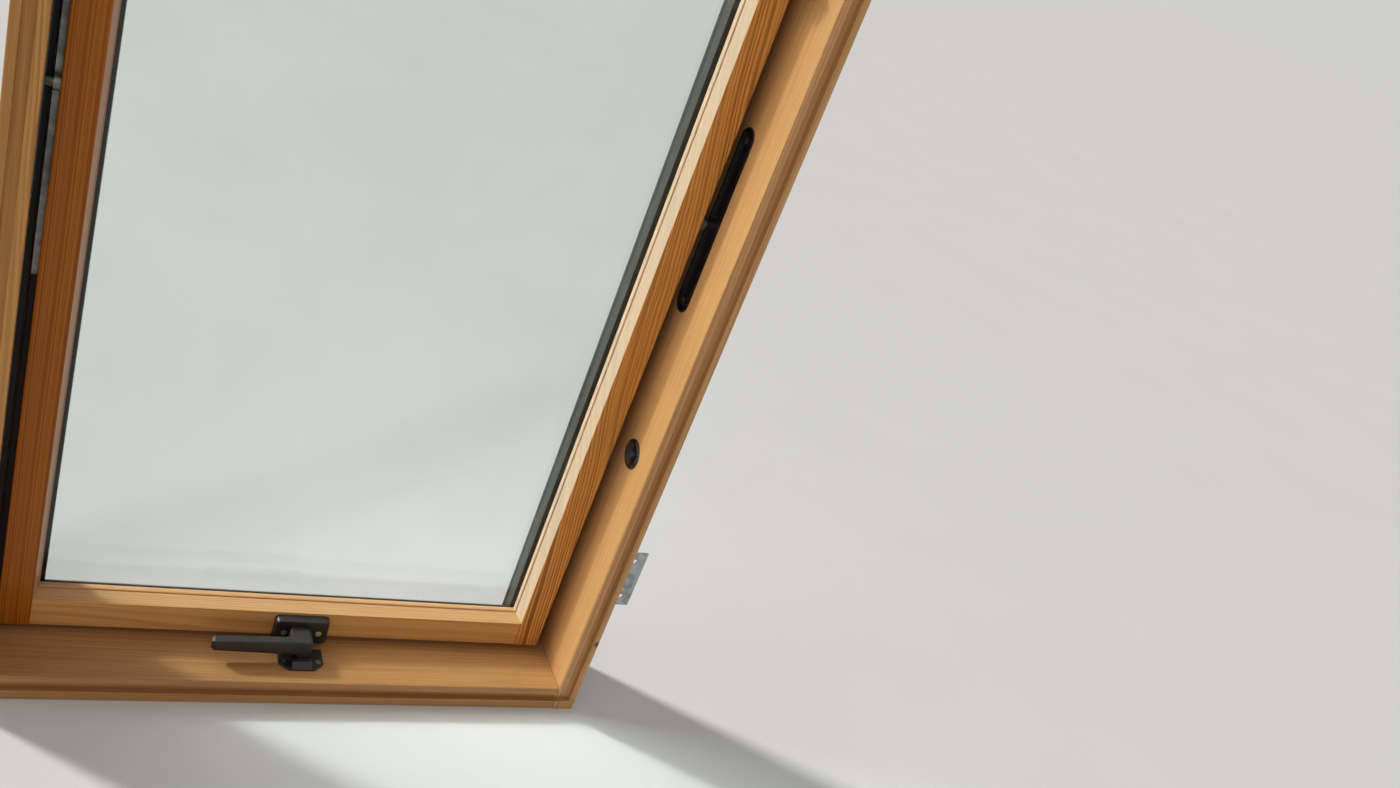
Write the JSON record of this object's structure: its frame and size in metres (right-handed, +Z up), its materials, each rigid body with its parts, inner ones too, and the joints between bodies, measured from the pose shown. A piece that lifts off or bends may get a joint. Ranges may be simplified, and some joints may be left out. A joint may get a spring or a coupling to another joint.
{
  "type": "centre-pivot roof window",
  "caption": "Centre-pivot roof window with a wooden frame and sash, double glazing, outer metal covers, a closing lever, side pivot hinges and a cleaning bolt.",
  "frame": {"origin": "middle of the sill's underside, on which the window stands at rest", "axes": "+X to the right as seen from the room, +Z up the slope of the roof, +Y out through the roof to the weather side, so the room is on the -Y side"},
  "size_m": [0.872, 0.141, 1.4015],
  "materials": {
    "clear_finished_pine": "planed pine, clear satin lacquer",
    "clear_glass": "clear float glass",
    "grey_coated_aluminium": "dark grey coated sheet aluminium, satin",
    "mill_aluminium": "mill finish spacer bar",
    "black_coated_metal": "black coated cast metal, semi-gloss",
    "brass": "brassed cross-head screws",
    "zinc_plated_steel": "bright zinc plated steel",
    "galvanised_steel": "galvanised sheet steel",
    "black_rubber_seal": "matt black seal rubber and sealant",
    "black_plastic": "black moulded plastic, slight sheen"
  },
  "bodies": {
    "frame": {"frame_sill": "clear_finished_pine", "frame_head": "clear_finished_pine", "frame_jamb_left": "clear_finished_pine", "frame_jamb_right": "clear_finished_pine", "frame_seal": "black_rubber_seal", "frame_cover_left_lower": "grey_coated_aluminium", "frame_cover_left_upper": "grey_coated_aluminium", "frame_cover_right_lower": "grey_coated_aluminium", "frame_cover_right_upper": "grey_coated_aluminium", "frame_cover_sill": "grey_coated_aluminium", "frame_hood": "grey_coated_aluminium", "hinge_plate_left": "black_plastic", "hinge_plate_right": "black_plastic", "hinge_plate_screws": "zinc_plated_steel", "bolt_bush": "black_plastic", "strike_plate": "black_coated_metal", "strike_screws": "zinc_plated_steel", "bracket_left_lower": "galvanised_steel", "bracket_left_upper": "galvanised_steel", "bracket_right_lower": "galvanised_steel", "bracket_right_upper": "galvanised_steel", "bracket_screws": "galvanised_steel"},
    "sash": {"sash_stile_left": "clear_finished_pine", "sash_stile_right": "clear_finished_pine", "sash_bottom_rail": "clear_finished_pine", "sash_top_rail": "clear_finished_pine", "inner_pane": "clear_glass", "outer_pane": "clear_glass", "spacer_frame": "mill_aluminium", "edge_seal": "black_rubber_seal", "glazing_gasket_inner": "black_rubber_seal", "glazing_gasket_outer": "black_rubber_seal", "sash_seal": "black_rubber_seal", "setting_blocks": "black_plastic", "sash_cover_left": "grey_coated_aluminium", "sash_cover_right": "grey_coated_aluminium", "sash_cover_top": "grey_coated_aluminium", "sash_cover_bottom": "grey_coated_aluminium", "hinge_arm_left": "zinc_plated_steel", "hinge_arm_right": "zinc_plated_steel", "pivot_pin_left": "zinc_plated_steel", "pivot_pin_right": "zinc_plated_steel", "hinge_arm_screws": "zinc_plated_steel", "bolt_housing_screws": "zinc_plated_steel", "handle_base": "black_coated_metal", "bolt_housing": "black_coated_metal", "handle_screws": "brass"},
    "handle": {"handle_lever": "black_coated_metal", "handle_spindle": "zinc_plated_steel"},
    "bolt": {"cleaning_bolt": "zinc_plated_steel", "bolt_knob": "black_coated_metal"}
  },
  "joints": [
    {"name": "sash_pivot", "type": "hinge", "parent": "frame", "child": "sash", "pos_m": [0, 0.023, 0.7], "axis": [1, 0, 0], "range_deg": [0, 170.34]},
    {"name": "handle_turn", "type": "hinge", "parent": "sash", "child": "handle", "pos_m": [0.008, 0, 0.0592], "axis": [0, 1, 0], "range_deg": [0, 90]},
    {"name": "bolt_slide", "type": "slide", "parent": "sash", "child": "bolt", "axis": [1, 0, 0], "range_m": [0, 0.012]}
  ]
}
